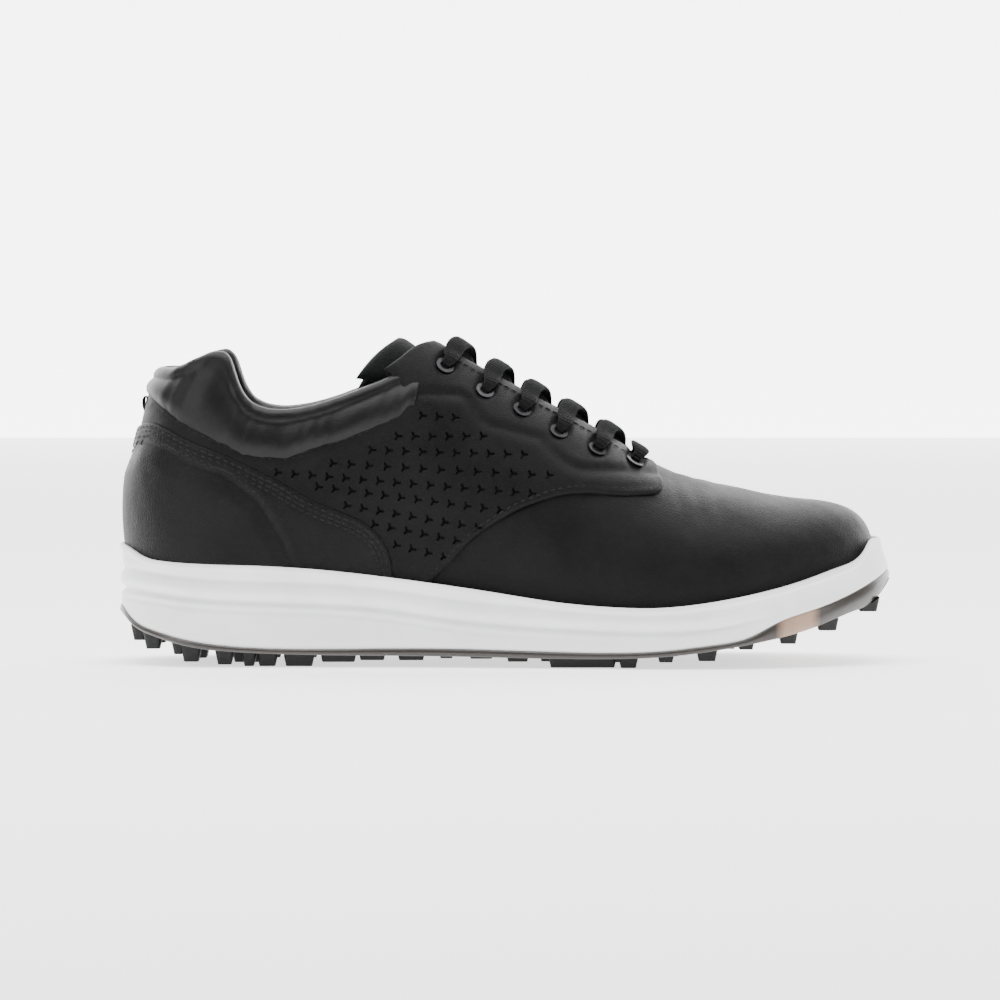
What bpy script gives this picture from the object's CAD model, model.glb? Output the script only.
import math

import bpy
import numpy as np
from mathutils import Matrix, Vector
from mathutils.geometry import delaunay_2d_cdt


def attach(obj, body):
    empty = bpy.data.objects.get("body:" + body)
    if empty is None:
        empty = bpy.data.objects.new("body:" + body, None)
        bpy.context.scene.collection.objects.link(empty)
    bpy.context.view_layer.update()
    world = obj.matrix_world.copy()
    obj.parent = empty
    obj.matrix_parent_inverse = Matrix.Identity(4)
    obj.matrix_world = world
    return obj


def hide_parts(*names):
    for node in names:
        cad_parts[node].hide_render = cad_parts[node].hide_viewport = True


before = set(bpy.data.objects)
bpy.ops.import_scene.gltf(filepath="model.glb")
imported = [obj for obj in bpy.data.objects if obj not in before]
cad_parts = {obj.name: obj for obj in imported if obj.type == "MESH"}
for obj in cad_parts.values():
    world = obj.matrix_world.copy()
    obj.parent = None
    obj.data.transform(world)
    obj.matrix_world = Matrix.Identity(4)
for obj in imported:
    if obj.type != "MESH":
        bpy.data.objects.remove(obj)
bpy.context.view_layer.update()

# A black leather golf shoe with a padded collar, a perforated quarter and a white midsole.
# The shapes below are worked out in millimetres on the same last as the CAD parts, with
# +X to the toe, +Y to the medial side and +Z up, and become metres in make_mesh().
MM = 0.001
RANDOM = np.random.default_rng(7)

HALF_LENGTH = 150.0
SOLE_FLANGE = 5.0
TOE_X, TOE_Z = 143.5, 38.0
TOE_TOP_START, TOE_SIDE_START, HEEL_SIDE_START = 112.0, 75.0, -108.0
KEEL_Z = -25.0
HEEL_ROUND, TOE_ROUND = 30.0, 45.0  # the mapping eases round the heel and toe in these
ARC = 55.0  # millimetres of girth per radian from the ridge down

QUARTER_LEVEL, FOXING_LEVEL, LINING_LEVEL = 1.4, 2.6, -1.6
LEATHER = 1.1
LACE_WIDTH, LACE_THICKNESS = 7.4, 1.5
RIB_PITCH = 1.25
EYELETS = ((-23.4, 114.9), (-8.0, 105.3), (6.3, 98.0), (20.5, 89.6), (35.2, 82.8), (49.9, 78.1))
THROAT_HALF_WIDTH = 12.5
COLLAR_BACK_X = -142.0
COLLAR_REACH = 118.0  # along the heel mapping, to each of the collar's ends
LOOP_X, LOOP_Z = -139.4, 99.8  # middle of the heel loop


# ---------------------------------------------------------------- curves
def curve(*points):
    """A natural cubic spline through (x, value) points, as a function of an array."""
    x, v = (np.array(c, float) for c in zip(*sorted(points)))
    h = np.diff(x)
    matrix, right = np.eye(len(x)), np.zeros(len(x))
    for i in range(1, len(x) - 1):
        matrix[i, i - 1 : i + 2] = h[i - 1], 2 * (h[i - 1] + h[i]), h[i]
        right[i] = 6 * ((v[i + 1] - v[i]) / h[i] - (v[i] - v[i - 1]) / h[i - 1])
    bend = np.linalg.solve(matrix, right)

    def value(at):
        at = np.clip(np.asarray(at, float), x[0], x[-1])
        i = np.clip(np.searchsorted(x, at, side="right") - 1, 0, len(h) - 1)
        a, b = x[i + 1] - at, at - x[i]
        return (
            (bend[i] * a**3 + bend[i + 1] * b**3) / (6 * h[i])
            + (v[i] / h[i] - bend[i] * h[i] / 6) * a
            + (v[i + 1] / h[i] - bend[i + 1] * h[i] / 6) * b
        )

    return value


def smooth(value, low, high):
    share = np.clip((value - low) / (high - low), 0, 1)
    return share * share * (3 - 2 * share)


def rounded(share, rise=2.0, fall=2.0):
    share = np.clip(share, 0, 1)
    return (1 - share**rise) ** (1 / fall)


def bell(distance, width):
    return np.exp(-((distance / width) ** 2))


# ---------------------------------------------------------------- the last
ridge_z = curve(
    (-150, 154), (-120, 152), (-90, 147.5), (-60, 140), (-39, 132.8), (-28.8, 127.5),
    (-20, 122), (-9.8, 116), (1, 110), (9.6, 105), (21.3, 98.6), (32.9, 92),
    (44.5, 85), (54, 79), (65, 73.8), (81, 69.6), (94, 66.7), (107, 64.2), (122, 62.8),
    (150, 62.6),
)
half_width = curve(
    (-150, 36.5), (-105, 37), (-70, 36.3), (-40, 35), (-10, 37), (20, 42.5),
    (50, 48.6), (75, 51.4), (100, 51.6), (150, 51.6),
)
centre_y = curve(
    (-150, -1), (-105, -1), (-70, -1.8), (-40, -3.2), (-10, -4), (20, -3.5),
    (50, -1.8), (75, 0.2), (100, 1.8), (125, 3.6), (150, 5.2),
)
ridge_lean = curve((-150, -1), (-60, -1), (-20, 0), (20, 2), (60, 5), (100, 6), (150, 5.2))
widest_z = curve(
    (-150, 52), (-60, 48), (-20, 38), (20, 31), (60, 28), (100, 31), (125, 35),
    (143.5, TOE_Z), (150, TOE_Z),
)
dome_rise = curve(
    (-150, 2.4), (-60, 2.7), (-28, 3.0), (0, 2.6), (30, 2.3), (60, 2.1), (100, 2.3), (150, 2.6)
)
dome_fall = curve((-150, 1.6), (-60, 1.8), (-28, 1.9), (30, 1.9), (100, 2.0), (150, 2.0))
heel_back_x = curve(
    (-30, -142.5), (24, -142.5), (46, -143.8), (61, -144.8), (75, -143.6), (84, -142),
    (93, -139.8), (103, -137.4), (113, -134.6), (125, -130), (140, -124), (160, -114),
)
footbed_z = curve(
    (-160, 26), (-140, 25), (-100, 23), (-60, 21), (-20, 17.2), (20, 14), (60, 13),
    (90, 16.6), (120, 26), (142, 34.5), (160, 41),
)


def plan_edge(side, x, back, front, flange):
    """Y of the plan outline on the lateral (side -1) or medial (side 1) side."""
    width = half_width(x) + flange
    width = width * np.where(
        x > TOE_SIDE_START, rounded((x - TOE_SIDE_START) / (front - TOE_SIDE_START)), 1.0
    )
    width = width * np.where(
        x < HEEL_SIDE_START, rounded((HEEL_SIDE_START - x) / (HEEL_SIDE_START - back), 2.2), 1.0
    )
    return centre_y(x) + side * width


def widest_reach(side):
    stations = np.linspace(-140, 145, 150)
    return (side * plan_edge(side, stations, -HALF_LENGTH, HALF_LENGTH, SOLE_FLANGE)).max()


SHIFT_Y = (widest_reach(-1) - widest_reach(1)) / 2


def ridge_y(x):
    return ridge_lean(x) + SHIFT_Y


def toe_share(x):
    return (x - TOE_TOP_START) / (TOE_X - TOE_TOP_START)


def top_z(x):
    """Height of the upper silhouette."""
    top = ridge_z(x)
    return np.where(x > TOE_TOP_START, TOE_Z + (top - TOE_Z) * rounded(toe_share(x), 3, 3), top)


def keel_z(x):
    return np.where(
        x > TOE_TOP_START, TOE_Z + (KEEL_Z - TOE_Z) * rounded(toe_share(x), 3, 3), KEEL_Z
    )


def skin_y(side, x, z):
    """Y of the vamp's outer skin at a point of the side view."""
    wide = widest_z(x)
    above = (z - wide) / np.maximum(top_z(x) - wide, 1e-6)
    below = (wide - z) / np.maximum(wide - keel_z(x), 1e-6)
    left = np.where(z >= wide, rounded(above, dome_rise(x), dome_fall(x)), rounded(below, 4))
    edge = plan_edge(side, x, heel_back_x(z), TOE_X, 0) + SHIFT_Y
    return ridge_y(x) + (edge - ridge_y(x)) * left


def foot_z(x):
    """Where the girth starts, hidden inside the midsole."""
    return footbed_z(x) - 6


def girth(x, z):
    """Millimetres round the upper from the ridge down to a point of the side view."""
    share = (z - foot_z(x)) / (top_z(x) - foot_z(x))
    return ARC * np.arccos(np.clip(share, -1, 1))


def eased_out(along, radius):
    """How far from an end of the last this much way round it leads."""
    return np.where(along < radius, along**2 / (2 * radius), along - radius / 2)


def eased_in(ahead, radius):
    """The way round an end of the last to a point this far from it."""
    return np.where(ahead < radius / 2, np.sqrt(2 * radius * ahead), ahead + radius / 2)


# Two mappings from a flat (along, around) plane to the skin. A side is laid out from the
# heel's back forwards, and the vamp from the toe's tip backwards, across the ridge.
def side_surface(side):
    def surface(along, around):
        ahead = eased_out(along, HEEL_ROUND)
        z = np.full_like(along, 60.0)
        for _ in range(8):
            x = heel_back_x(z) + ahead
            z = foot_z(x) + (top_z(x) - foot_z(x)) * np.cos(around / ARC)
        return np.stack([x, skin_y(side, x, z), z], axis=-1)

    return surface


def side_flat(points):
    """The flat place of side-view (x, z) points on a side."""
    x, z = np.array(points, float).T
    ahead = np.maximum(x - heel_back_x(z), 0)
    along = eased_in(ahead, HEEL_ROUND)
    return np.stack([along, girth(x, z)], axis=-1)


def vamp_surface(along, around):
    x = TOE_X - eased_out(along, TOE_ROUND)
    z = foot_z(x) + (top_z(x) - foot_z(x)) * np.cos(around / ARC)
    side = np.where(around < 0, -1.0, 1.0)
    y = np.where(np.abs(around) < 1e-6, ridge_y(x), skin_y(side, x, z))
    return np.stack([x, y, z], axis=-1)


def vamp_flat(points, side):
    x, z = np.array(points, float).T
    back = np.maximum(TOE_X - x, 0)
    along = eased_in(back, TOE_ROUND)
    return np.stack([along, side * girth(x, z)], axis=-1)


def heel_surface(along, around):
    """Both sides round the heel: along is negative on the lateral side, around is Z."""
    ahead = eased_out(np.abs(along), HEEL_ROUND)
    x = heel_back_x(around) + ahead
    side = np.where(along < 0, -1.0, 1.0)
    return np.stack([x, skin_y(side, x, around), around], axis=-1)


def heel_flat(points, side):
    x, z = np.array(points, float).T
    ahead = np.maximum(x - heel_back_x(z), 0)
    along = eased_in(ahead, HEEL_ROUND)
    return np.stack([side * along, z], axis=-1)


def placed(surface, flat):
    """Points of a mapping and the skin's outward normals there."""
    step = 0.4
    along, around = flat[:, 0], flat[:, 1]
    points = surface(along, around)
    first = surface(along + step, around) - surface(along - step, around)
    second = surface(along, around + step) - surface(along, around - step)
    normals = np.cross(first, second)
    normals /= np.maximum(np.linalg.norm(normals, axis=1, keepdims=True), 1e-9)
    outward = points - np.stack(
        [np.clip(points[:, 0], -95, 80), ridge_y(points[:, 0]), np.minimum(points[:, 2], 60)], axis=-1
    )
    normals[(normals * outward).sum(1) < 0] *= -1
    return points, normals


# ---------------------------------------------------------------- flat shapes
def spaced(points, spacing, closed=False):
    """The same line with its points evenly spaced."""
    points = np.array(points, float)
    if closed:
        points = np.vstack([points, points[:1]])
    steps = np.linalg.norm(np.diff(points, axis=0), axis=1)
    reach = np.concatenate([[0], np.cumsum(steps)])
    count = max(int(round(reach[-1] / spacing)), 3)
    at = np.linspace(0, reach[-1], count + 1)
    line = np.stack([np.interp(at, reach, points[:, k]) for k in range(points.shape[1])], axis=-1)
    return line[:-1] if closed else line


def eased(points, spacing=1.0):
    """A smooth line through side-view points."""
    points = np.array(points, float)
    steps = np.linalg.norm(np.diff(points, axis=0), axis=1)
    reach = np.concatenate([[0], np.cumsum(steps)])
    lines = [curve(*zip(reach, points[:, k])) for k in range(points.shape[1])]
    at = np.arange(0, reach[-1], spacing)
    return spaced(np.stack([line(at) for line in lines], axis=-1), spacing)


def line_distance(points, line):
    """Distance of each point from an open line, positive on the left of its direction."""
    start, step = line[:-1], np.diff(line, axis=0)
    best = np.full(len(points), 1e9)
    sign = np.ones(len(points))
    for a, d in zip(start, step):
        offset = points - a
        share = np.clip(offset @ d / max(d @ d, 1e-9), 0, 1)
        gap = np.hypot(*(offset - share[:, None] * d).T)
        nearer = gap < best
        best = np.where(nearer, gap, best)
        turn = d[0] * offset[:, 1] - d[1] * offset[:, 0]
        sign = np.where(nearer, np.where(turn >= 0, 1.0, -1.0), sign)
    return best * sign


def inside(points, outline):
    """Which points lie inside a closed outline."""
    x, y = points.T
    result = np.zeros(len(points), bool)
    ends = np.roll(outline, -1, axis=0)
    for (xa, ya), (xb, yb) in zip(outline, ends):
        if ya != yb:
            crosses = ((ya > y) != (yb > y)) & (x < (xb - xa) * (y - ya) / (yb - ya) + xa)
            result ^= crosses
    return result


def edge_distance(points, outline):
    closed = np.vstack([outline, outline[:1]])
    return np.abs(line_distance(points, closed))


# ---------------------------------------------------------------- meshes
def make_mesh(name, points, faces, material, body="shoe"):
    mesh = bpy.data.meshes.new(name)
    mesh.from_pydata((np.asarray(points) * MM).tolist(), [], [list(map(int, f)) for f in faces])
    mesh.validate()
    mesh.polygons.foreach_set("use_smooth", [True] * len(mesh.polygons))
    mesh.update()
    obj = bpy.data.objects.new(name, mesh)
    bpy.context.scene.collection.objects.link(obj)
    mesh.materials.append(material)
    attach(obj, body)
    return obj


def grid_faces(rows, columns, start=0, closed=False):
    """Quads of a grid of rows x columns points, closed along its columns if asked."""
    faces = []
    for i in range(rows - 1):
        for j in range(columns if closed else columns - 1):
            k = (j + 1) % columns
            faces.append(
                (start + i * columns + j, start + i * columns + k,
                 start + (i + 1) * columns + k, start + (i + 1) * columns + j)
            )
    return faces


def closed_pad(rows, columns):
    """Faces of a closed pad: a grid on top, the same grid below, and the edge between."""
    faces = grid_faces(rows, columns)
    count = rows * columns
    faces += [tuple(reversed([count + i for i in f])) for f in faces]
    border = (
        [j for j in range(columns)]
        + [i * columns + columns - 1 for i in range(1, rows)]
        + [(rows - 1) * columns + j for j in range(columns - 2, -1, -1)]
        + [i * columns for i in range(rows - 2, 0, -1)]
    )
    for a, b in zip(border, border[1:] + border[:1]):
        faces.append((b, a, count + a, count + b))
    return faces


def panel(name, outline, surface, spacing, level, relief, material, holes=(), pit=None,
          roll=LEATHER, depth=0.7):
    """A cut leather panel with a rolled edge, laid on the last through a flat mapping."""
    outline = spaced(outline, spacing, closed=True)
    low, high = outline.min(0), outline.max(0)
    rows = np.arange(low[1], high[1], spacing * 0.87)
    grid = np.array([
        (x + (k % 2) * spacing / 2, y)
        for k, y in enumerate(rows)
        for x in np.arange(low[0], high[0], spacing)
    ])
    grid = grid[inside(grid, outline)]
    grid = grid[edge_distance(grid, outline) > 1.3]
    rings = []
    following = np.roll(outline, -1, axis=0) - np.roll(outline, 1, axis=0)
    inward = np.stack([-following[:, 1], following[:, 0]], axis=-1)
    inward /= np.maximum(np.linalg.norm(inward, axis=1, keepdims=True), 1e-9)
    area = 0.5 * np.sum(
        outline[:, 0] * np.roll(outline[:, 1], -1) - np.roll(outline[:, 0], -1) * outline[:, 1]
    )
    inward *= 1 if area > 0 else -1
    for inset in (0.2, 0.55, 1.0):
        ring = outline + inward * inset
        keep = inside(ring, outline) & (edge_distance(ring, outline) > 0.8 * inset)
        rings.append(ring[keep])
    loose = np.vstack([grid, *rings])
    if len(holes):
        centres = np.array([h.mean(0) for h in holes])
        gaps = np.linalg.norm(loose[:, None] - centres[None], axis=2).min(1)
        loose = loose[gaps > 2.0]
    flat = [outline]
    edges = [(i, (i + 1) % len(outline)) for i in range(len(outline))]
    count = len(outline)
    for hole in holes:
        edges += [(count + i, count + (i + 1) % len(hole)) for i in range(len(hole))]
        flat.append(hole)
        count += len(hole)
    flat = np.vstack([*flat, loose])
    made = delaunay_2d_cdt([Vector(p) for p in flat.tolist()], edges, [], 0, 1e-5)
    flat = np.array([tuple(p) for p in made[0]])
    faces = np.array([f for f in made[2] if len(f) == 3])
    middles = flat[faces].mean(1)
    keep = inside(middles, outline)
    for hole in holes:
        near = np.linalg.norm(middles - hole.mean(0), axis=1) < 3
        keep[near] &= ~inside(middles[near], hole)
    faces = faces[keep]
    used, faces = np.unique(faces, return_inverse=True)
    faces = faces.reshape(-1, 3)
    flat = flat[used]
    base, normals = placed(surface, flat)
    edge = np.clip(edge_distance(flat, outline), 0, roll)
    drop = roll - np.sqrt(np.maximum(roll**2 - (roll - edge) ** 2, 0))
    height = level + relief(base) - drop
    points = base + normals * height[:, None]
    turned = np.cross(
        points[faces[:, 1]] - points[faces[:, 0]], points[faces[:, 2]] - points[faces[:, 0]]
    )
    back_to_front = (turned * normals[faces[:, 0]]).sum(1) < 0
    faces[back_to_front] = faces[back_to_front][:, ::-1]
    all_points, all_faces, slots = [points], [tuple(f) for f in faces], [0] * len(faces)
    count = len(points)
    rim_base, rim_normals = placed(surface, outline)
    rim_height = level + relief(rim_base) - roll
    for extra in (0.0, depth):
        all_points.append(rim_base + rim_normals * (rim_height - extra)[:, None])
    size = len(outline)
    for i in range(size):
        j = (i + 1) % size
        all_faces.append((count + i, count + j, count + size + j, count + size + i))
        slots.append(0)
    count += 2 * size
    for hole in holes:
        hole_base, hole_normals = placed(surface, hole)
        hole_height = level + relief(hole_base)
        size = len(hole)
        all_points.append(hole_base + hole_normals * (hole_height - 0.02)[:, None])
        all_points.append(hole_base + hole_normals * (hole_height - 0.85)[:, None])
        for i in range(size):
            j = (i + 1) % size
            all_faces.append((count + i, count + j, count + size + j, count + size + i))
            slots.append(0)
        all_faces.append(tuple(count + size + i for i in range(size)))
        slots.append(1)
        count += 2 * size
    obj = make_mesh(name, np.vstack(all_points), all_faces, material)
    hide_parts(name)
    if pit:
        obj.data.materials.append(pit)
        obj.data.polygons.foreach_set("material_index", slots[: len(obj.data.polygons)])
    return obj


# ---------------------------------------------------------------- materials
def new_material(name, colour, roughness, specular=0.5):
    """A Principled material whose colour varies a little, and its pieces for more nodes."""
    material = bpy.data.materials.new(name)
    material.use_nodes = True
    nodes, links = material.node_tree.nodes, material.node_tree.links
    shader = nodes["Principled BSDF"]
    shader.inputs["Roughness"].default_value = roughness
    shader.inputs["Specular IOR Level"].default_value = specular
    shader.inputs["Base Color"].default_value = (*colour, 1)
    where = nodes.new("ShaderNodeTexCoord").outputs["Object"]
    return material, nodes, links, shader, where


def texture(nodes, links, where, kind, scale, detail=2.0, stretch=(1, 1, 1)):
    """The value of a noise or cell pattern, in object space, with scale per metre."""
    mapping = nodes.new("ShaderNodeMapping")
    mapping.inputs["Scale"].default_value = stretch
    links.new(where, mapping.inputs["Vector"])
    if kind == "noise":
        node = nodes.new("ShaderNodeTexNoise")
        node.inputs["Detail"].default_value = detail
        out = node.outputs["Fac"]
    else:
        node = nodes.new("ShaderNodeTexVoronoi")
        node.feature = kind
        out = node.outputs["Distance"]
    node.inputs["Scale"].default_value = scale
    links.new(mapping.outputs["Vector"], node.inputs["Vector"])
    return out


def ranged(nodes, links, value, low, high, to_low=0.0, to_high=1.0):
    node = nodes.new("ShaderNodeMapRange")
    for name, number in (
        ("From Min", low), ("From Max", high), ("To Min", to_low), ("To Max", to_high)
    ):
        node.inputs[name].default_value = number
    links.new(value, node.inputs["Value"])
    return node.outputs["Result"]


def tinted(nodes, links, shader, value, dark, light):
    ramp = nodes.new("ShaderNodeValToRGB")
    ramp.color_ramp.elements[0].color = (*dark, 1)
    ramp.color_ramp.elements[1].color = (*light, 1)
    links.new(value, ramp.inputs["Fac"])
    links.new(ramp.outputs["Color"], shader.inputs["Base Color"])


def bumped(nodes, links, shader, heights):
    """Bumps from (value, distance in metres, strength), one on top of another."""
    normal = None
    for value, distance, strength in heights:
        bump = nodes.new("ShaderNodeBump")
        bump.inputs["Distance"].default_value = distance
        bump.inputs["Strength"].default_value = strength
        links.new(value, bump.inputs["Height"])
        if normal is not None:
            links.new(normal, bump.inputs["Normal"])
        normal = bump.outputs["Normal"]
    links.new(normal, shader.inputs["Normal"])


def leather(name, colour, roughness, grain, crease, specular=0.4):
    material, nodes, links, shader, where = new_material(name, colour, roughness, specular)
    cells = texture(nodes, links, where, "DISTANCE_TO_EDGE", 950)
    pores = texture(nodes, links, where, "noise", 1700, 3)
    folds = texture(nodes, links, where, "noise", 130, 4, (1, 1, 0.55))
    tone = texture(nodes, links, where, "noise", 38, 3)
    dark = tuple(c * 0.75 for c in colour)
    light = tuple(c * 1.45 for c in colour)
    tinted(nodes, links, shader, ranged(nodes, links, tone, 0.3, 0.7), dark, light)
    links.new(
        ranged(nodes, links, tone, 0.3, 0.7, roughness - 0.05, roughness + 0.07),
        shader.inputs["Roughness"],
    )
    bumped(nodes, links, shader, (
        (folds, 0.0011, crease),
        (ranged(nodes, links, cells, 0.0, 0.14), 0.00014, grain),
        (pores, 0.00008, grain),
    ))
    return material


def cloth(name, colour, pitch, roughness=0.85, depth=0.00025):
    material, nodes, links, shader, where = new_material(name, colour, roughness, 0.1)
    shader.inputs["Sheen Weight"].default_value = 0.06
    shader.inputs["Sheen Roughness"].default_value = 0.5
    weave = texture(nodes, links, where, "F1", 1 / pitch)
    fuzz = texture(nodes, links, where, "noise", 2200, 4)
    tone = texture(nodes, links, where, "noise", 60, 3)
    tinted(
        nodes, links, shader, ranged(nodes, links, tone, 0.3, 0.7),
        tuple(c * 0.7 for c in colour), tuple(c * 1.4 for c in colour),
    )
    bumped(nodes, links, shader, ((weave, depth, 0.8), (fuzz, 0.00012, 0.6)))
    return material


def moulded(name, colour, roughness, grain=0.15, specular=0.45, spread=0.06):
    material, nodes, links, shader, where = new_material(name, colour, roughness, specular)
    tone = texture(nodes, links, where, "noise", 45, 4)
    fine = texture(nodes, links, where, "noise", 1500, 3)
    tinted(
        nodes, links, shader, ranged(nodes, links, tone, 0.3, 0.7),
        tuple(c * (1 - spread) for c in colour), tuple(min(c * (1 + spread), 0.97) for c in colour),
    )
    links.new(
        ranged(nodes, links, fine, 0.3, 0.7, roughness - 0.04, roughness + 0.06),
        shader.inputs["Roughness"],
    )
    bumped(nodes, links, shader, ((fine, 0.00008, grain),))
    return material


BLACK = (0.0040, 0.0037, 0.0042)
upper_leather = leather("upper_leather", BLACK, 0.48, 0.5, 0.2, 0.12)
collar_leather = leather("collar_leather", (0.0050, 0.0046, 0.0050), 0.38, 0.25, 0.28, 0.22)
foxing_leather = leather("foxing_leather", (0.0040, 0.0038, 0.0042), 0.45, 0.5, 0.25, 0.14)
pit_material = cloth("perforation_pit", (0.0012, 0.0012, 0.0012), 0.0006)
lining_cloth = cloth("lining_cloth", (0.0065, 0.0065, 0.0070), 0.0009)
tongue_cloth = cloth("tongue_cloth", (0.0040, 0.0055, 0.0046), 0.0007, 0.8)
board_cloth = cloth("stiffener_board", (0.09, 0.088, 0.08), 0.0012)
insole_cloth = cloth("insole_cloth", (0.03, 0.03, 0.032), 0.0012)
thread_material = cloth("thread", (0.010, 0.0095, 0.0105), 0.0004, 0.6)
lace_cloth = cloth("lace_cloth", (0.0040, 0.0040, 0.0045), 0.0005, 0.75)
white_foam = moulded("white_foam", (0.90, 0.905, 0.915), 0.55, 0.12)
black_rubber = moulded("black_rubber", (0.006, 0.006, 0.006), 0.5, 0.3, 0.3, 0.25)
aglet_plastic = moulded("aglet_plastic", (0.015, 0.015, 0.015), 0.25, 0.05, 0.5, 0.2)


def smoky_rubber():
    """Smoked, slightly clear rubber, lighter where the tread is thin behind the toe."""
    colour = (0.030, 0.025, 0.022)
    material, nodes, links, shader, where = new_material("smoky_rubber", colour, 0.32, 0.5)
    split = nodes.new("ShaderNodeSeparateXYZ")
    links.new(where, split.inputs["Vector"])
    rise = ranged(nodes, links, split.outputs["X"], 0.103, 0.107)
    fall = ranged(nodes, links, split.outputs["X"], 0.117, 0.121, 1, 0)
    both = nodes.new("ShaderNodeMath")
    both.operation = "MULTIPLY"
    links.new(rise, both.inputs[0])
    links.new(fall, both.inputs[1])
    mottle = texture(nodes, links, where, "noise", 70, 3)
    blend = nodes.new("ShaderNodeMath")
    blend.operation = "MULTIPLY"
    links.new(both.outputs[0], blend.inputs[0])
    links.new(ranged(nodes, links, mottle, 0.25, 0.6, 0.7, 1.0), blend.inputs[1])
    tinted(nodes, links, shader, blend.outputs[0], colour, (0.33, 0.21, 0.14))
    shader.inputs["Transmission Weight"].default_value = 0.03
    bumped(nodes, links, shader, ((mottle, 0.0002, 0.15),))
    return material


def ring_metal():
    material, nodes, links, shader, where = new_material("ring_metal", (0.2, 0.2, 0.21), 0.28)
    shader.inputs["Metallic"].default_value = 1.0
    scratches = texture(nodes, links, where, "noise", 900, 4)
    tinted(nodes, links, shader, scratches, (0.018, 0.018, 0.019), (0.05, 0.05, 0.052))
    bumped(nodes, links, shader, ((scratches, 0.00005, 0.2),))
    return material


outsole_material = smoky_rubber()
eyelet_metal = ring_metal()

# ---------------------------------------------------------------- sole side-view curves
midsole_top = curve(
    (-158, 46.5), (-147, 45.4), (-141.5, 42.6), (-131.6, 40.4), (-107.7, 39.3), (-78, 38),
    (-54.4, 35.7), (-34.6, 33.2), (-6.8, 29.3), (20.9, 25.2), (40.7, 23.6), (60.4, 23.5),
    (80.2, 25.8), (100, 29.5), (119.8, 34.7), (131, 38.2), (138.5, 41), (143, 45.2),
    (146, 48.2), (149, 44), (151.5, 36), (156, 30),
)
outsole_top = curve(
    (-156, 29), (-149.7, 22.3), (-145.3, 17.8), (-137.4, 14), (-123.6, 10.5), (-107.7, 8.2),
    (-78, 6.9), (-38.5, 7.2), (1, 6.7), (40.7, 6.1), (60.4, 6.9), (80.2, 9.2), (94, 12.2),
    (104, 17.2), (119.8, 22.4), (139.6, 30.2), (150.5, 36.2), (156, 40),
)
outsole_bottom = curve(
    (-156, 26), (-149.9, 20.6), (-145.3, 15.8), (-137.4, 11.8), (-123.6, 8.1), (-105, 5.9),
    (-78, 4.8), (-20, 4.2), (40.7, 3.8), (62, 4.8), (80, 7), (100, 10.5), (119.8, 15.5),
    (135.7, 21), (145.6, 26.4), (150.6, 33), (156, 38),
)
groove_z = curve(
    (-160, 29.5), (-143, 28.7), (-122.9, 26.5), (-102.6, 25.2), (-66, 23.8), (-41.7, 21.5),
    (-21.4, 18.4), (5.7, 15.9), (50, 14), (80, 15.4), (104, 20.5),
)

# ---------------------------------------------------------------- side-view lines (x, z)
COLLAR_SEAM = (
    (-142.5, 107.5), (-138.6, 105.3), (-128.7, 98.2), (-120.5, 92.7), (-106.8, 86.7),
    (-98.6, 83.4), (-90.5, 81.7), (-81.2, 82), (-71.2, 85.6), (-59.4, 89.6), (-49, 93.7),
    (-42.6, 97.4), (-39.7, 101.5), (-39.6, 105.5), (-42, 110.2), (-46.8, 113.6),
)
TOPLINE = (
    (-146, 107), (-143, 109.5), (-138, 112.8), (-132, 116.4), (-126, 120), (-121, 122),
    (-117, 121.2), (-113.5, 116.8), (-108.4, 108.6), (-105, 104), (-101, 101), (-94.4, 99),
    (-87.8, 98.7), (-79.6, 100.1), (-71.2, 102.5), (-62.5, 106.3), (-54, 110), (-46.8, 113.7),
    (-40, 117),
)
THROAT_TOP = ((-46.8, 113.6), (-40.5, 118.2), (-34.2, 122.4), (-28, 123.6))
QUARTER_FRONT = (
    (60.2, 70.5), (60.5, 68.3), (58.8, 66.3), (54, 65.6), (47.6, 65.4), (32.4, 66.4),
    (21.7, 65.8), (13.1, 63.4), (4.6, 60.1), (-4.7, 54.7), (-14, 47.7), (-21.6, 39.2),
    (-27.8, 33), (-35, 22),
)
EYESTAY_LOWER = (
    (-41, 105), (-35.5, 105), (-29.6, 104.8), (-22, 104.5), (-17, 103.6), (-14.0, 101.6),
    (-10.6, 96.9), (-7.2, 93.2), (-0.9, 91.2), (8.8, 88.5), (14.4, 86.6), (18.5, 82.3),
    (23.2, 78.4), (28.4, 75.9), (36, 75.2), (47, 74.6), (60, 73.2),
)
FOXING_TOP = (
    (-146, 82.8), (-144, 84.5), (-141, 90.3), (-136.5, 92.8), (-132.5, 92.2), (-126, 88.9),
    (-115, 83.9), (-104.1, 79.2), (-93.2, 74.1), (-85.4, 70.2), (-77.7, 65.6), (-65, 59.8),
    (-54, 54.9), (-48, 49.6), (-44.3, 42.8), (-43, 34), (-42.5, 24),
)
HEEL_CUP = (
    (-146, 78.5), (-143.5, 80.8), (-140.8, 83.9), (-137.4, 85.6), (-134.6, 84.8), (-128.7, 82.3),
    (-122.7, 79), (-113, 75), (-107.7, 73.3), (-102.9, 69.9), (-96.1, 64.8), (-91.1, 58.2),
    (-86, 49.7), (-82, 39.6), (-79, 26),
)
collar_seam = eased(COLLAR_SEAM)
eyestay_line = eased(EYESTAY_LOWER)
heel_cup_line = eased(HEEL_CUP)
foxing_line = eased(FOXING_TOP)
quarter_front = eased(QUARTER_FRONT)


def facing_line(low, high):
    """Side-view points on the edge of the eyelet facing, beside the throat."""
    x = np.linspace(low, high, 40)
    left = THROAT_HALF_WIDTH / np.abs(
        plan_edge(-1, x, -HALF_LENGTH, TOE_X, 0) + SHIFT_Y - ridge_y(x)
    )
    share = (1 - left ** dome_fall(x)) ** (1 / dome_rise(x))
    return np.stack([x, widest_z(x) + share * (top_z(x) - widest_z(x))], axis=-1)


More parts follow.
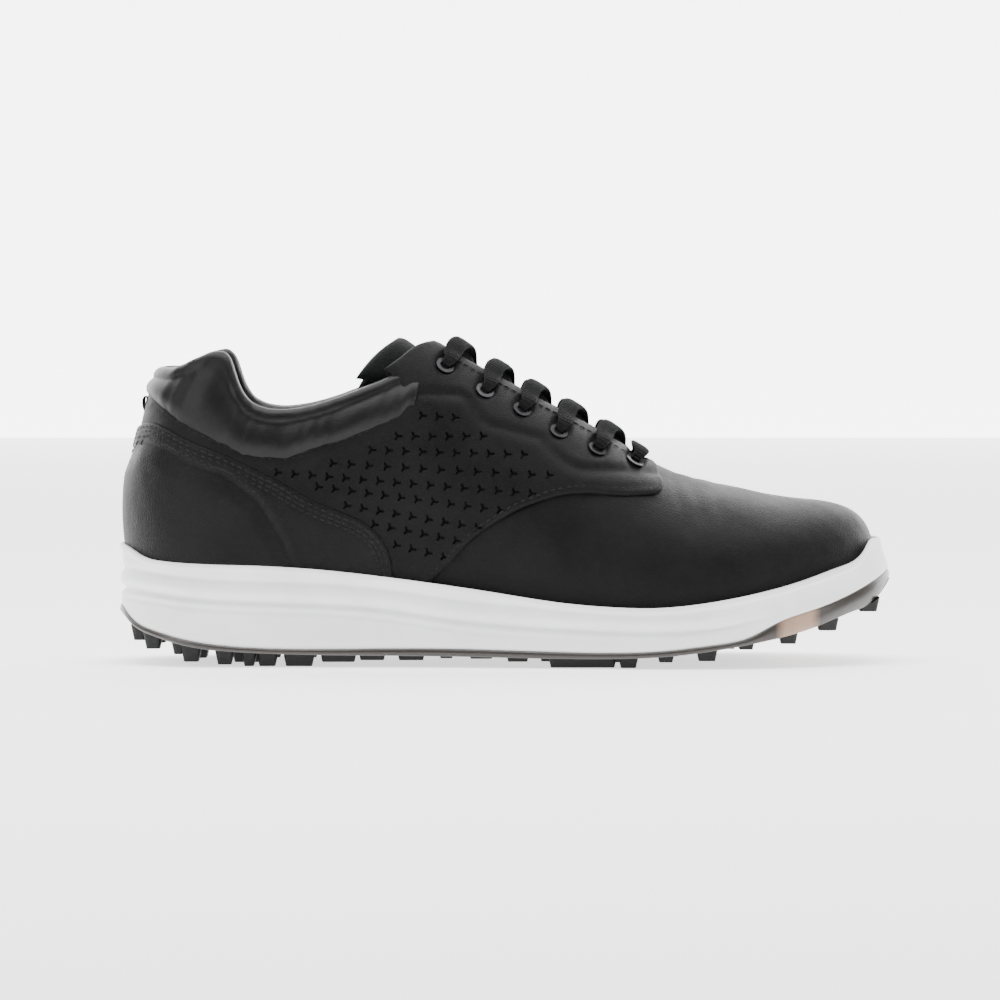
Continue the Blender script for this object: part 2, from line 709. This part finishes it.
def waves(points, amount):
    """Slow random hills and hollows, the hand of the leather."""
    total = np.zeros(len(points))
    for wave in (9.0, 14.0, 23.0, 38.0):
        for _ in range(3):
            direction = RANDOM.normal(size=3)
            direction *= 2 * math.pi / wave / np.linalg.norm(direction)
            total += np.sin(points @ direction + RANDOM.uniform(0, 6.3)) * (wave / 38) ** 0.5
    return amount * total / 4


def beside(line, offset):
    """A line moved to its left by this much."""
    ahead = np.gradient(line, axis=0)
    ahead /= np.maximum(np.linalg.norm(ahead, axis=1, keepdims=True), 1e-9)
    return line + offset * np.stack([-ahead[:, 1], ahead[:, 0]], axis=-1)


# ---------------------------------------------------------------- perforations
# Rows of small three-armed cuts: first and last X with their Z, and how many.
PERFORATION_ROWS = (
    (-32.0, 95.8, -19.7, 94.9, 3), (-41.3, 88.2, -9.0, 87.7, 6), (-51.3, 83.0, 6.8, 80.7, 10),
    (-66.2, 78.0, 16.6, 72.9, 13), (-87.3, 74.5, 10.0, 66.3, 16), (-71.7, 69.0, -2.0, 60.1, 12),
    (-60.8, 61.9, -10.6, 53.5, 9), (-50.2, 54.7, -18.7, 48.5, 6), (-41.8, 46.8, -23.4, 42.3, 4),
)
ARM_LENGTH, ARM_HALF_WIDTH = 2.05, 0.52


def three_arms(x, z, slope):
    """The outline of one cut, its stem towards the toe, in side-view millimetres."""
    outline = []
    for arm in (0, 120, 240):
        turn = math.radians(arm) + slope
        along = np.array([math.cos(turn), math.sin(turn)])
        across = np.array([-along[1], along[0]])
        inner = ARM_HALF_WIDTH / math.tan(math.radians(60))
        tip = ARM_LENGTH * (1.0 if arm == 0 else 0.92)
        outline += [
            along * inner - across * ARM_HALF_WIDTH,
            along * (tip - 0.25) - across * ARM_HALF_WIDTH * 0.8,
            along * tip,
            along * (tip - 0.25) + across * ARM_HALF_WIDTH * 0.8,
        ]
    return np.array(outline) + (x, z)


def perforations():
    cuts = []
    for x_low, z_low, x_high, z_high, count in PERFORATION_ROWS:
        slope = math.atan2(z_high - z_low, x_high - x_low)
        for share in np.linspace(0, 1, count):
            cuts.append(
                three_arms(x_low + share * (x_high - x_low), z_low + share * (z_high - z_low), slope)
            )
    return cuts


# ---------------------------------------------------------------- stitches
stitch_points, stitch_faces = [], []


def stitch_row(line, surface, flatten, level, pitch=3.0, length=2.3, width=0.62):
    """Short raised threads one after another along a line, sunk a little at their ends."""
    base, normals = placed(surface, flatten(line))
    reach = np.concatenate([[0], np.cumsum(np.linalg.norm(np.diff(base, axis=0), axis=1))])
    rings, sides = 5, 6
    for start in np.arange(0.5, reach[-1] - pitch, pitch):
        at = start + np.linspace(0, 1, rings) * length
        centre = np.stack([np.interp(at, reach, base[:, k]) for k in range(3)], axis=-1)
        out = np.stack([np.interp(at, reach, normals[:, k]) for k in range(3)], axis=-1)
        ahead = np.gradient(centre, axis=0)
        ahead /= np.linalg.norm(ahead, axis=1, keepdims=True)
        across = np.cross(ahead, out)
        share = np.linspace(-1, 1, rings)
        size = width / 2 * np.sqrt(1 - (0.94 * share) ** 2)
        lift = level + 0.10 - 0.22 * share**4
        first = len(stitch_points)
        for k in range(rings):
            for turn in np.linspace(0, 2 * math.pi, sides, endpoint=False):
                offset = across[k] * math.cos(turn) * size[k]
                offset = offset + out[k] * (math.sin(turn) * size[k] * 0.8 + lift[k])
                stitch_points.append(centre[k] + offset)
        stitch_faces.extend(grid_faces(rings, sides, first, closed=True))


# ---------------------------------------------------------------- upper
def no_relief(points):
    return np.zeros(len(points))


def sunk(points):
    """How far a panel draws in below the midsole's top edge."""
    return 3.6 * smooth(midsole_top(points[:, 0]) - points[:, 2], 0.5, 6)


def quarter_relief(points):
    flat = points[:, [0, 2]]
    above = -line_distance(flat, eyestay_line[::-1])
    fade = smooth(flat[:, 0], -41, -33)
    near_collar = np.abs(line_distance(flat, collar_seam))
    relief = 0.75 * smooth(above, -0.6, 2.2) * fade - 0.45 * bell(above + 0.9, 1.1) * fade
    relief += 0.5 * bell(above + 4.5, 3.2) * fade
    relief += 0.35 * bell(near_collar - 3.2, 2.4) * smooth(-flat[:, 0], 36, 44)
    relief -= 0.16 * bell(np.abs(line_distance(flat, front_stitch)), 0.7)
    relief -= 0.16 * bell(np.abs(line_distance(flat, seam_stitch)), 0.7)
    creases = bell(line_distance(flat, np.array([(-24, 97), (-12, 82), (-4, 70)])), 3.0)
    for eyelet in EYELETS:
        gap = np.hypot(*(flat - eyelet).T)
        relief = relief - 0.8 * (1 - smooth(gap, 3.0, 5.0))
    return relief + 0.25 * creases + waves(points, 0.12) - sunk(points)


def vamp_relief(points):
    flat = points[:, [0, 2]]
    flex = np.zeros(len(points))
    for x, amount in ((66, 0.20), (73, 0.26), (81, 0.16)):
        bent = x + 0.12 * (70 - flat[:, 1]) + 1.2 * np.sin(points[:, 1] / 9)
        flex -= amount * bell(flat[:, 0] - bent, 1.9) * smooth(flat[:, 1], 40, 62)
    return flex + waves(points, 0.14) - sunk(points)


def foxing_relief(points):
    flat = points[:, [0, 2]]
    below = -line_distance(flat, heel_cup_line)
    puff = 1.5 * smooth(below, -0.3, 7) - 0.55 * bell(below - 0.2, 0.9)
    rows = sum(bell(line_distance(flat, row), 0.6) for row in foxing_stitches)
    return puff + 0.25 * bell(below + 2.6, 1.8) - 0.15 * rows + waves(points, 0.12) - sunk(points)


front_stitch = beside(quarter_front, -2.2)
seam_stitch = beside(collar_seam[:-18], -2.0)
foxing_stitches = [beside(foxing_line, -offset) for offset in (1.6, 3.3, 5.0)]
foxing_stitches.append(beside(heel_cup_line[:70], 1.9))

bottom_rear = [(x, footbed_z(x) + 2) for x in np.linspace(-36, -142.4, 40)]
quarter_outline = np.vstack([
    collar_seam, eased(THROAT_TOP), facing_line(-26.5, 58), quarter_front,
    bottom_rear, [(heel_back_x(28), 28), (heel_back_x(60), 60), (heel_back_x(85), 85)],
])
quarter_outline[:, 0] = np.maximum(quarter_outline[:, 0], heel_back_x(quarter_outline[:, 1]))
cuts = perforations()
for side, name in ((-1, "lateral"), (1, "medial")):
    surface = side_surface(side)
    panel(
        f"quarter_{name}", side_flat(quarter_outline), surface, 1.1, QUARTER_LEVEL,
        quarter_relief, upper_leather,
        holes=[side_flat(cut) for cut in cuts], pit=pit_material,
    )
    lining = quarter_outline[quarter_outline[:, 0] < 56]
    panel(
        f"quarter_lining_{name}", side_flat(lining), surface, 2.5, LINING_LEVEL,
        no_relief, lining_cloth, roll=0.5, depth=0.5,
    )
    stitch_row(front_stitch, surface, side_flat, QUARTER_LEVEL - 0.1)
    stitch_row(seam_stitch, surface, side_flat, QUARTER_LEVEL - 0.1)
    stitch_row(beside(facing_line(-24, 56), -2.4), surface, side_flat, QUARTER_LEVEL + 0.95)

VAMP_BACK = (
    (58.6, 78), (56, 75), (50, 72), (38, 70), (24, 68), (8, 62), (-6, 55), (-20, 44),
    (-34, 30), (-44, 18),
)
vamp_back = eased(VAMP_BACK)
rim_x = np.concatenate([np.linspace(-40, 138, 90), 143.46 - 5.4 * np.linspace(1, 0, 24)[1:] ** 2])
rim = np.stack([rim_x, footbed_z(rim_x) + 2.5], axis=-1)
rim[:, 1] = np.minimum(rim[:, 1], 37)
vamp_outline = np.vstack([
    vamp_flat(vamp_back, -1), vamp_flat(rim, -1), vamp_flat(rim[::-1], 1),
    vamp_flat(vamp_back[::-1], 1),
])
panel(
    "vamp", vamp_outline, vamp_surface, 1.35, 0.0, vamp_relief, upper_leather
)
panel(
    "vamp_lining", vamp_outline, vamp_surface, 2.8, LINING_LEVEL - 0.6, no_relief, lining_cloth,
    roll=0.5, depth=0.5,
)

foxing_low = np.array([(x, footbed_z(x) + 2) for x in np.linspace(-43, -142, 40)])
lateral = np.vstack([heel_flat(foxing_low[::-1], -1), heel_flat(foxing_line[::-1], -1)])
medial = np.vstack([heel_flat(foxing_line, 1), heel_flat(foxing_low, 1)])
foxing_outline = np.vstack([lateral, medial])
panel(
    "heel_foxing", foxing_outline, heel_surface, 1.2, FOXING_LEVEL, foxing_relief,
    foxing_leather,
)
for side in (-1, 1):
    for row in foxing_stitches:
        row = row[row[:, 0] > -144.5]
        stitch_row(row, heel_surface, lambda line: heel_flat(line, side), FOXING_LEVEL - 0.1)


# ---------------------------------------------------------------- padded collar
def collar():
    """The padded collar and its lining: one section swept from throat to throat."""
    top_line = spaced(np.array(TOPLINE), 1.2)
    low_line = spaced(np.array(COLLAR_SEAM[:13]), 0.5)
    stations = 420
    share = np.linspace(-1, 1, stations)
    along = share * COLLAR_REACH
    sides = np.where(share < 0, -1.0, 1.0)
    ahead = eased_out(np.abs(along), HEEL_ROUND)
    x = COLLAR_BACK_X + ahead
    top = np.interp(x, top_line[:, 0], top_line[:, 1])
    top_at_back = np.interp(-134.5, top_line[:, 0], top_line[:, 1])
    top = np.where(x < -134.5, top_at_back, top)
    top = np.convolve(np.pad(top, 6, "edge"), np.ones(13) / 13, "valid")
    low = np.interp(x + 1.5, low_line[:, 0], low_line[:, 1])
    low = np.minimum(low, top - 8) - 3.0
    radius = 3.7
    rows, kinds = [], []

    def add(level, z, kind):
        rows.append((level * np.ones(stations), z))
        kinds.append(kind)

    crown = top - radius
    for share_up in np.linspace(0, 1, 26):
        z = low + share_up * (crown - low)
        bulge = 0.3 + 2.1 * np.sin(math.pi * min(share_up * 1.12, 1.0) ** 0.85)
        add(bulge + 0.8 * smooth(share_up, 0.8, 1.0), z, 0)
    for turn in np.linspace(0, math.pi, 15)[1:]:
        add(0.8 + 0.3 - radius + radius * math.cos(turn) * 1.0, crown + radius * math.sin(turn), 0)
    inner_level = 1.1 - 2 * radius
    for share_down in np.linspace(0, 1, 22)[1:]:
        z = crown - share_down * (crown - low + 12)
        belly = -1.3 * math.sin(math.pi * min(share_down * 1.6, 1.0))
        add(inner_level + belly + 1.2 * share_down, z, 1)
    points = []
    for level, z in rows:
        base, normals = placed(heel_surface, np.stack([sides * np.abs(along), z], axis=-1))
        wrinkle = 0.09 * np.sin(along * 0.9 + 2.1 * np.sin(along * 0.23) + z * 0.12)
        wrinkle += 0.13 * np.sin(along * 0.37 + z * 0.2)
        points.append(base + normals * (level + wrinkle)[:, None])
    points = np.array(points)
    split = kinds.index(1) - 1
    outer = points[: split + 1]
    inner = points[split:]
    leather_part = make_mesh(
        "collar", outer.reshape(-1, 3), grid_faces(len(outer), stations), collar_leather,
    )
    lining_part = make_mesh(
        "collar_inside", inner.reshape(-1, 3), grid_faces(len(inner), stations), lining_cloth,
    )
    for part in (leather_part, lining_part):
        solid = part.modifiers.new("thickness", "SOLIDIFY")
        solid.thickness = 0.0008
        solid.offset = 0
    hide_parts("collar_cover", "collar_roll")
    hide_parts("collar_lining", "collar_foam")
    # The fine cord of binding that runs along the top of the roll.
    crest = points[26 + 5]
    ahead_dir = np.gradient(crest, axis=0)
    ahead_dir /= np.linalg.norm(ahead_dir, axis=1, keepdims=True)
    up = np.array([0, 0, 1.0])
    across = np.cross(ahead_dir, up)
    across /= np.linalg.norm(across, axis=1, keepdims=True)
    tube = [
        crest + across * math.cos(t) * 0.75 + up * (math.sin(t) * 0.6)
        for t in np.linspace(0, 2 * math.pi, 8, endpoint=False)
    ]
    tube = np.array(tube).transpose(1, 0, 2).reshape(-1, 3)
    make_mesh(
        "collar_binding", tube, grid_faces(stations, 8, closed=True), thread_material,
    )


collar()


def heel_loop():
    """A small folded ribbon at the back seam."""
    turns = np.linspace(0, 2 * math.pi, 40)
    middle = np.stack([LOOP_X + 1.5 * np.cos(turns) - 0.4 * np.sin(turns),
                       LOOP_Z + 3.4 * np.sin(turns)], axis=-1)
    rows = []
    for radius in (1.0, 0.45):
        shrink = np.stack([LOOP_X + (middle[:, 0] - LOOP_X) * radius,
                           LOOP_Z + (middle[:, 1] - LOOP_Z) * (0.86 if radius < 1 else 1)], axis=-1)
        for y in (-5.2, -4.9, 2.3, 2.6):
            rows.append(np.stack([shrink[:, 0], np.full(40, y), shrink[:, 1]], axis=-1))
    order = [0, 1, 2, 3, 7, 6, 5, 4, 0]
    points = np.array([rows[i] for i in order]).reshape(-1, 3)
    loop = make_mesh(
        "heel_loop", points, grid_faces(len(order), 40), lace_cloth
    )
    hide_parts("heel_pull_loop")


heel_loop()


# ---------------------------------------------------------------- tongue
def skin_z(x, y):
    side = np.where(y < ridge_y(x), -1.0, 1.0)
    edge = plan_edge(side, x, -HALF_LENGTH, TOE_X, 0) + SHIFT_Y
    left = np.abs((y - ridge_y(x)) / (edge - ridge_y(x)))
    share = (1 - left ** dome_fall(x)) ** (1 / dome_rise(x))
    return widest_z(x) + share * (top_z(x) - widest_z(x))


def tongue():
    rows, columns = 90, 60
    u = np.linspace(0, 1, rows)[:, None]
    across = np.linspace(-1, 1, columns)[None, :]
    rear = -39.5 - 17.5 * across**2
    x = rear + u * (56.5 - rear)
    y = ridge_y(x) + across * (27.5 - 9.5 * smooth(x, -45, 15))
    level = -6.4 - 1.2 * smooth(x, -42, -26) + 4.2 * smooth(x, 45, 58)
    step = 0.5
    slope_x = (skin_z(x + step, y) - skin_z(x - step, y)) / (2 * step)
    slope_y = (skin_z(x, y + step) - skin_z(x, y - step)) / (2 * step)
    normal = np.stack([-slope_x, -slope_y, np.ones_like(x)], axis=-1)
    normal /= np.linalg.norm(normal, axis=-1, keepdims=True)
    base = np.stack([x, y, skin_z(x, y)], axis=-1) + normal * level[..., None]
    from_end = np.broadcast_to(u * 96, x.shape)
    side_edge = (1 - np.abs(across)) * 21
    edge = np.minimum(from_end, side_edge + 0 * from_end)
    swell = np.sqrt(1 - (1 - np.clip(edge / 4.5, 0, 1)) ** 2)
    quilt = 0.35 * bell(from_end - 9.0, 1.0)
    half = 0.35 + 2.7 * swell
    top = base + normal * (half - 2.9 - quilt)[..., None]
    under = base + normal * (-half - 2.9)[..., None]
    points = np.concatenate([top.reshape(-1, 3), under.reshape(-1, 3)])
    pad = make_mesh(
        "tongue_pad", points, closed_pad(rows, columns), tongue_cloth, body="tongue",
    )
    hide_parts("tongue_cover", "tongue_foam", "tongue_lining")


tongue()


# ---------------------------------------------------------------- sole
def perimeter(count):
    """Stations round the sole's outline and the plan directions out of it."""
    turns = np.linspace(0, 2 * math.pi, count, endpoint=False)
    x = -HALF_LENGTH * np.cos(turns)
    side = np.where(turns < math.pi, -1.0, 1.0)
    y = plan_edge(side, x, -HALF_LENGTH, HALF_LENGTH, SOLE_FLANGE) + SHIFT_Y
    line = np.stack([x, y], axis=-1)
    ahead = np.roll(line, -1, axis=0) - np.roll(line, 1, axis=0)
    out = np.stack([ahead[:, 1], -ahead[:, 0]], axis=-1)
    out /= np.maximum(np.linalg.norm(out, axis=1, keepdims=True), 1e-9)
    if (out * line).sum() < 0:
        out = -out
    return line, out


def midsole():
    count = 900
    line, out = perimeter(count)
    x = line[:, 0]
    top, bottom = midsole_top(np.minimum(x, 146)), outsole_top(x)
    nose = 3.4 * smooth(x, 128, 147)  # the toe bumper leans back from its foot
    sculpt = 1 - smooth(x, 62, 108)
    back = 1 - smooth(x, -60, 60)
    groove = groove_z(x)
    rows = []

    def add(inset, z):
        rows.append(np.concatenate([line - out * inset[:, None], z[:, None]], axis=1))

    one = np.ones(count)
    layer = 5.0 - FOXING_LEVEL * (1 - smooth(x, -44, -38)) * 0.9
    layer = layer - QUARTER_LEVEL * smooth(x, -44, -38) * (1 - smooth(x, -26, -14))
    add(layer + 1.8, bottom + 0.4 * (top - bottom))
    add(layer + 0.6, top - 3.0)
    add(layer - 0.2, top - 0.9)
    for share in (0.8, 0.55, 0.3):
        add(np.maximum(share * (layer - 1.0) + 0.9, nose + 1.0 + 0.5 * share), top - 0.35 * share)
    for turn in np.linspace(0.1, 0.5 * math.pi, 6):
        add(nose + 0.9 * (1 - math.sin(turn)) + 0.1, top - 1.6 * (1 - math.cos(turn)))
    for share in np.linspace(0, 1, 46)[1:]:
        z = top - 1.6 - share * (top - 1.6 - bottom)
        off = z - groove
        inset = 1.9 * bell(off, 1.1) * sculpt
        inset = inset - 0.75 * bell(off - 3.8, 1.9) * sculpt + 0.8 * bell(off - 7.8, 1.2) * back * sculpt
        inset = inset + 0.5 * bell(off + 3.6, 0.9) * sculpt * back
        inset = inset + 0.55 * math.sin(math.pi * share) + 0.5 * smooth(off, 2, 14) * sculpt
        inset = inset + 0.7 * smooth(share, 0.93, 1.0)
        add(inset + 0.1 + 0.45 * smooth(share, 0, 0.1) + nose * (1 - share) ** 2, z)
    add(one * 4.0, bottom - 0.3)
    points = np.array(rows).reshape(-1, 3)
    mesh = make_mesh(
        "midsole_foam", points, grid_faces(len(rows), count, closed=True), white_foam,
    )
    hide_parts("midsole")


midsole()


def outsole():
    """The smoked rim: a rounded band round the edge, and the tread plate inside it."""
    count = 700
    line, out = perimeter(count)
    x = line[:, 0]
    top, bottom = outsole_top(x), outsole_bottom(x)
    rows = []

    def add(inset, z):
        rows.append(np.concatenate([line - out * inset[:, None], z[:, None]], axis=1))

    one = np.ones(count)
    half = (top - bottom) / 2
    add(one * 4.5, top + 0.1)
    for turn in np.linspace(0, math.pi, 14):
        add(0.2 + 1.1 * (1 - math.sin(turn)) * one, (top + bottom) / 2 + half * math.cos(turn))
    for inset in (3.0, 8.0, 16.0):
        add(one * inset, bottom + 0.0)
    middle = np.stack([x, centre_y(x) + SHIFT_Y], axis=-1)
    for share in (0.55, 0.25, 0.0):
        inner = middle + (line - middle) * share
        rows.append(np.concatenate([inner, outsole_bottom(inner[:, 0])[:, None]], axis=1))
    points = np.array(rows).reshape(-1, 3)
    mesh = make_mesh(
        "outsole_rim", points, grid_faces(len(rows), count, closed=True), outsole_material,
    )
    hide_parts("outsole")


outsole()


def insole():
    """The foam sockliner with its dished heel and raised edge."""
    rows, columns = 120, 40
    stations = -138 + 272 * (1 - np.cos(np.linspace(0, math.pi, rows))) / 2
    across = np.linspace(-1, 1, columns)
    lateral = plan_edge(-1, stations, -138.2, 134.8, -5.4) + SHIFT_Y
    medial = plan_edge(1, stations, -138.2, 134.8, -5.4) + SHIFT_Y
    share = (across + 1) / 2
    y = lateral[:, None] * (1 - share) + medial[:, None] * share
    x = np.broadcast_to(stations[:, None], y.shape)
    floor = footbed_z(x) + 2.2
    lip = np.abs(across[None, :]) ** 5
    arch_rise = 4.0 * smooth(across[None, :], 0.3, 1.0) * bell(x + 25, 45)
    top = floor + 4.4 - 1.6 * (1 - lip) * (1 - smooth(x, -90, -50)) + arch_rise * 0.5
    shapes = [np.stack([x, y, z], axis=-1).reshape(-1, 3) for z in (top, floor)]
    pad = make_mesh(
        "insole", np.concatenate(shapes), closed_pad(rows, columns), insole_cloth,
        body="sockliner",
    )
    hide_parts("sockliner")


insole()


# ---------------------------------------------------------------- lace
def eyelet_frame(side, number):
    """Place, outward normal and direction to the throat of one eyelet."""
    base, normal = placed(side_surface(side), side_flat([EYELETS[number]]))
    place, out = base[0] + normal[0] * QUARTER_LEVEL, normal[0]
    inward = np.array([0.25, -side, 0.0])
    inward -= out * (inward @ out)
    return place, out, inward / np.linalg.norm(inward)


def throat_edge(side, x, level):
    """A point above or below the edge of one side's facing, and the normal there."""
    z = np.interp(x, *facing_line(-30, 60).T)
    base, normal = placed(side_surface(side), side_flat([(x, z)]))
    return base[0] + normal[0] * level, normal[0]


def ridge_point(x, level):
    base = np.array([x, float(ridge_y(x)), float(top_z(x))])
    slope = float(ridge_z(x + 1) - ridge_z(x - 1)) / 2
    normal = np.array([-slope, 0, 1]) / math.hypot(slope, 1)
    return base + normal * level, normal


def lace_controls():
    """(place, flat side's normal, width share) from one tucked tip to the other."""
    def tuck(side):
        line = []
        for x, z in ((20, 65), (4, 71), (-10, 80), (-18.5, 91), (-21.5, 101)):
            base, normal = placed(side_surface(side), side_flat([(x, z)]))
            line.append((base[0] - normal[0] * 5.0, normal[0], 0.9))
        place, out, inward = eyelet_frame(side, 0)
        return line + [(place - out * 4.6, -inward, 0.5), (place + out * 0.6, -inward, 0.42)]

    def strand(side):
        line = tuck(side)
        for number in range(len(EYELETS) - 1):
            hop = side if number % 2 == 0 else -side
            upper = (side == -1) == (number % 2 == 0)
            here, there = EYELETS[number][0], EYELETS[number + 1][0]
            place, out, inward = eyelet_frame(hop, number)
            line.append((place + out * 2.7 + inward * 1.5, out * 0.8 - inward * 0.6, 0.72))
            near, n_near = throat_edge(hop, here * 0.84 + there * 0.16, QUARTER_LEVEL + 3.4)
            line.append((place * 0.45 + near * 0.55 + out * 1.2, n_near, 1.0))
            line.append((near + n_near * 0.2, n_near, 1.0))
            middle, n_middle = ridge_point((here + there) / 2, 2.9 if upper else 0.2)
            line.append((middle, n_middle, 1.0))
            far, n_far = throat_edge(-hop, here * 0.2 + there * 0.8, -4.0)
            line.append((far, n_far, 0.95))
            place, out, inward = eyelet_frame(-hop, number + 1)
            line.append((place - out * 4.4 + inward * 1.0, out * 0.4 - inward, 0.6))
            line.append((place + out * 0.4, -inward, 0.42))
        return line

    last = len(EYELETS) - 1
    lateral, medial = strand(-1), strand(1)
    bar = []
    end_side = 1 if last % 2 == 1 else -1
    for side in (end_side, -end_side):
        place, out, inward = eyelet_frame(side, last)
        near, n_near = throat_edge(side, EYELETS[last][0] + 0.5, QUARTER_LEVEL + 3.0)
        group = [(place + out * 2.5 + inward * 1.4, out * 0.8 - inward * 0.6, 0.72),
                 (near, n_near, 1.0)]
        bar += group if side == end_side else group[::-1]
        if side == end_side:
            bar.append((*ridge_point(EYELETS[last][0] + 1.5, 2.4), 1.0))
    return lateral + bar + medial[::-1]


def lace():
    controls = lace_controls()
    places = np.array([c[0] for c in controls])
    normals = np.array([c[1] for c in controls])
    widths = np.array([c[2] for c in controls])
    steps = np.linalg.norm(np.diff(places, axis=0), axis=1) ** 0.75
    reach = np.concatenate([[0], np.cumsum(steps)])
    fine = np.linspace(0, reach[-1], 6000)
    centre = np.stack([curve(*zip(reach, places[:, k]))(fine) for k in range(3)], axis=-1)
    length = np.concatenate([[0], np.cumsum(np.linalg.norm(np.diff(centre, axis=0), axis=1))])
    count = int(length[-1] / 0.32)
    at = np.linspace(0, length[-1], count)
    centre = np.stack([np.interp(at, length, centre[:, k]) for k in range(3)], axis=-1)
    share = np.interp(at, length, fine)
    out = np.stack([np.interp(share, reach, normals[:, k]) for k in range(3)], axis=-1)
    width = np.interp(share, reach, widths)
    width = np.convolve(np.pad(width, 8, "edge"), np.ones(17) / 17, "valid")
    ahead = np.gradient(centre, axis=0)
    ahead /= np.linalg.norm(ahead, axis=1, keepdims=True)
    across = np.cross(ahead, out)
    for _ in range(12):
        across[1:-1] = (across[:-2] + 2 * across[1:-1] + across[2:]) / 4
    across -= ahead * (across * ahead).sum(1, keepdims=True)
    across /= np.maximum(np.linalg.norm(across, axis=1, keepdims=True), 1e-9)
    out = np.cross(across, ahead)
    ribs = 1 + 0.16 * np.cos(2 * math.pi * at / RIB_PITCH)
    half_wide = LACE_WIDTH / 2 * width * (1 + 0.02 * np.cos(2 * math.pi * at / RIB_PITCH))
    half_thick = LACE_THICKNESS / 2 * ribs * (1 + 0.75 * (1 - width))
    sides = 14
    rows = []
    for turn in np.linspace(0, 2 * math.pi, sides, endpoint=False):
        c, s = math.cos(turn), math.sin(turn)
        wide = np.sign(c) * abs(c) ** 0.6 * half_wide
        thick = np.sign(s) * abs(s) ** 0.75 * half_thick
        rows.append(centre + across * wide[:, None] + out * thick[:, None])
    points = np.array(rows).transpose(1, 0, 2).reshape(-1, 3)
    faces = grid_faces(count, sides, closed=True)
    faces.append(tuple(range(sides)))
    faces.append(tuple((count - 1) * sides + i for i in reversed(range(sides))))
    cord = make_mesh("lace_band", points, faces, lace_cloth)
    for end, toward in ((0, -1), (-1, 1)):
        direction = ahead[end] * toward
        side_dir, up_dir = across[end], out[end]
        ring = []
        for distance, radius in ((-2.0, 1.5), (-1.9, 1.75), (9, 1.6), (17.5, 1.45), (18.3, 0.9)):
            for turn in np.linspace(0, 2 * math.pi, 14, endpoint=False):
                ring.append(
                    centre[end] + direction * distance
                    + side_dir * math.cos(turn) * radius + up_dir * math.sin(turn) * radius
                )
        faces = grid_faces(5, 14, closed=True)
        faces += [tuple(range(14)), tuple(56 + i for i in reversed(range(14)))]
        make_mesh(f"aglet_{'lateral' if end == 0 else 'medial'}", ring, faces, aglet_plastic)
    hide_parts("lace")
    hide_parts("lace_aglets")


lace()

make_mesh(
    "stitching", np.array(stitch_points), stitch_faces, thread_material
)

# ---------------------------------------------------------------- CAD nodes kept as they are
KEPT = {
    "eyelets": (eyelet_metal, 0.00018), "heel_lugs": (black_rubber, 0.0005),
    "midfoot_lugs": (black_rubber, 0.0005), "forefoot_lugs": (black_rubber, 0.0005),
    "toe_puff": (board_cloth, 0), "heel_counter": (board_cloth, 0),
    "strobel_board": (board_cloth, 0), "eyestay_reinforcement_lateral": (board_cloth, 0),
    "eyestay_reinforcement_medial": (board_cloth, 0), "quarter_backing_lateral": (lining_cloth, 0),
    "quarter_backing_medial": (lining_cloth, 0),
}
for node, (material, bevel) in KEPT.items():
    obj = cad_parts[node]
    obj.data.materials.clear()
    obj.data.materials.append(material)
    if bevel:
        edge = obj.modifiers.new("bevel", "BEVEL")
        edge.width = bevel
        edge.segments = 2
        edge.limit_method = "ANGLE"
        edge.angle_limit = math.radians(40)

# ---------------------------------------------------------------- camera, floor and light
camera = bpy.data.objects.new("camera", bpy.data.cameras.new("camera"))
bpy.context.scene.collection.objects.link(camera)
bpy.context.scene.camera = camera
AIM = Vector((-0.0020, -0.008, 0.0629))
DISTANCE, ELEVATION, VIEW_WIDTH = 2.4, math.radians(2.0), 0.388
camera.location = AIM + Vector((0, -math.cos(ELEVATION), math.sin(ELEVATION))) * DISTANCE
camera.rotation_euler = (math.pi / 2 - ELEVATION, 0, 0)
camera.data.sensor_width = 36
camera.data.lens = 36 * DISTANCE / VIEW_WIDTH
camera.data.clip_end = 100


def pale(name, size, place, turn=(0, 0, 0), glow=0.0):
    mesh = bpy.data.meshes.new(name)
    half = size / 2
    mesh.from_pydata(
        [(-half, -half, 0), (half, -half, 0), (half, half, 0), (-half, half, 0)], [], [(0, 1, 2, 3)]
    )
    obj = bpy.data.objects.new(name, mesh)
    obj.location, obj.rotation_euler = place, turn
    bpy.context.scene.collection.objects.link(obj)
    material = bpy.data.materials.new(name)
    material.use_nodes = True
    shader = material.node_tree.nodes["Principled BSDF"]
    shader.inputs["Base Color"].default_value = (0.93, 0.93, 0.93, 1)
    shader.inputs["Roughness"].default_value = 0.9
    shader.inputs["Specular IOR Level"].default_value = 0.1
    shader.inputs["Emission Color"].default_value = (1, 1, 1, 1)
    shader.inputs["Emission Strength"].default_value = glow
    mesh.materials.append(material)
    return obj


pale("floor", 12, (0, 0, 0), glow=1.3)
pale("backdrop", 12, (0, 3.5, 0), (math.pi / 2, 0, 0), glow=4.5)


def softbox(name, place, target, size, power):
    data = bpy.data.lights.new(name, "AREA")
    data.shape, data.size, data.size_y, data.energy = "RECTANGLE", size[0], size[1], power
    obj = bpy.data.objects.new(name, data)
    obj.location = place
    obj.rotation_euler = (Vector(target) - Vector(place)).to_track_quat("-Z", "Y").to_euler()
    bpy.context.scene.collection.objects.link(obj)


softbox("top", (0.0, -0.1, 1.5), (0, 0, 0.05), (1.6, 0.9), 34)
softbox("left", (-1.3, -1.1, 0.9), (-0.05, 0, 0.06), (0.7, 1.0), 15)
softbox("right", (1.4, -0.9, 0.7), (0.05, 0, 0.05), (0.7, 1.0), 11)
world = bpy.data.worlds.new("studio")
bpy.context.scene.world = world
world.use_nodes = True
world.node_tree.nodes["Background"].inputs["Color"].default_value = (1, 1, 1, 1)
world.node_tree.nodes["Background"].inputs["Strength"].default_value = 0.22
